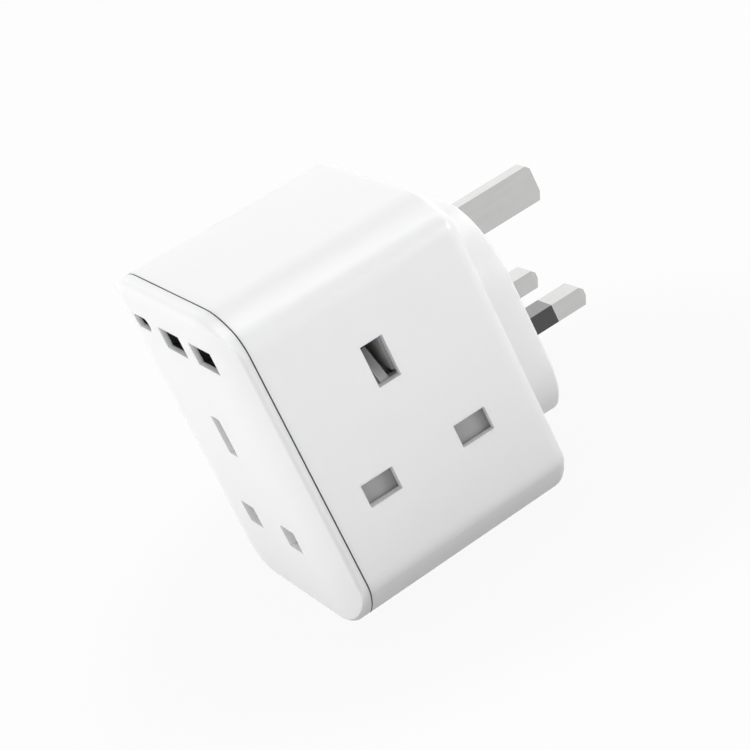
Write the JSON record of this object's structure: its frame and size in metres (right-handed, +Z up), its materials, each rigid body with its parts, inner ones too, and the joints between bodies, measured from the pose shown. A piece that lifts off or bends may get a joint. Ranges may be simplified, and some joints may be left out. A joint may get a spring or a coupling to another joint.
{
  "type": "plug-in outlet cube with usb ports",
  "caption": "White plug-in adaptor cube with shuttered 13 A outlets on its front and sides, USB ports along the top of its front and a fused three-pin plug on its back.",
  "frame": {"origin": "under the middle of the overall length, on the plane that the cube stands on", "axes": "+Z up, +X to the right as seen from the front, +Y from the front face towards the plug pins"},
  "size_m": [0.071, 0.0832, 0.0725],
  "materials": {
    "white_shell": "smooth satin moulding",
    "carrier_plastic": "fine satin moulding",
    "plated_pin": "nickel plated, satin",
    "black_sleeve": "matt black",
    "fuse_body": "glazed ceramic barrel with bright caps",
    "brass_strip": "rolled",
    "red_lead": "insulated wire",
    "blue_lead": "insulated wire",
    "circuit_board": "solder mask",
    "port_steel": "folded sheet",
    "port_black": "matt black",
    "ferrite": "sintered ferrite",
    "winding_tape": "tape",
    "capacitor_sleeve": "sleeved can",
    "chip_black": "moulded",
    "shutter_plastic": "matt moulding",
    "spring_steel": "spring wire",
    "insert_plastic": "matt moulding"
  },
  "bodies": {
    "adaptor": {"front_cover": "white_shell", "main_housing": "white_shell", "fuse_carrier": "carrier_plastic", "earth_pin": "plated_pin", "live_pin": "plated_pin", "neutral_pin": "plated_pin", "live_pin_sleeve": "black_sleeve", "neutral_pin_sleeve": "black_sleeve", "fuse": "fuse_body", "upper_fuse_clip": "brass_strip", "lower_fuse_clip": "brass_strip", "live_link": "brass_strip", "earth_bar": "brass_strip", "live_bar": "brass_strip", "neutral_bar": "brass_strip", "live_lead": "red_lead", "neutral_lead": "blue_lead", "usb_board": "circuit_board", "usb_a_shell_left": "port_steel", "usb_a_shell_right": "port_steel", "usb_c_shell": "port_steel", "usb_a_tongue_left": "port_black", "usb_a_tongue_right": "port_black", "usb_c_tongue": "port_black", "transformer_core": "ferrite", "transformer_winding": "winding_tape", "input_capacitor": "capacitor_sleeve", "output_capacitor": "capacitor_sleeve", "rectifier": "chip_black", "front_shutter_spring": "spring_steel", "front_socket_insert": "insert_plastic", "front_earth_contact": "brass_strip", "front_live_contact": "brass_strip", "front_neutral_contact": "brass_strip", "right_shutter_spring": "spring_steel", "right_socket_insert": "insert_plastic", "right_earth_contact": "brass_strip", "right_live_contact": "brass_strip", "right_neutral_contact": "brass_strip", "left_shutter_spring": "spring_steel", "left_socket_insert": "insert_plastic", "left_earth_contact": "brass_strip", "left_live_contact": "brass_strip", "left_neutral_contact": "brass_strip"},
    "front_shutter": {"front_shutter": "shutter_plastic"},
    "right_shutter": {"right_shutter": "shutter_plastic"},
    "left_shutter": {"left_shutter": "shutter_plastic"}
  },
  "joints": [
    {"name": "front_shutter_slide", "type": "slide", "parent": "adaptor", "child": "front_shutter", "axis": [0, 0, -1], "range_m": [0, 0.0052], "stiffness_N_per_m": 150, "springref_m": -0.004, "deforming": ["front_shutter_spring"]},
    {"name": "right_shutter_slide", "type": "slide", "parent": "adaptor", "child": "right_shutter", "axis": [0, 0, -1], "range_m": [0, 0.0052], "stiffness_N_per_m": 150, "springref_m": -0.004, "deforming": ["right_shutter_spring"]},
    {"name": "left_shutter_slide", "type": "slide", "parent": "adaptor", "child": "left_shutter", "axis": [0, 0, -1], "range_m": [0, 0.0052], "stiffness_N_per_m": 150, "springref_m": -0.004, "deforming": ["left_shutter_spring"]}
  ]
}
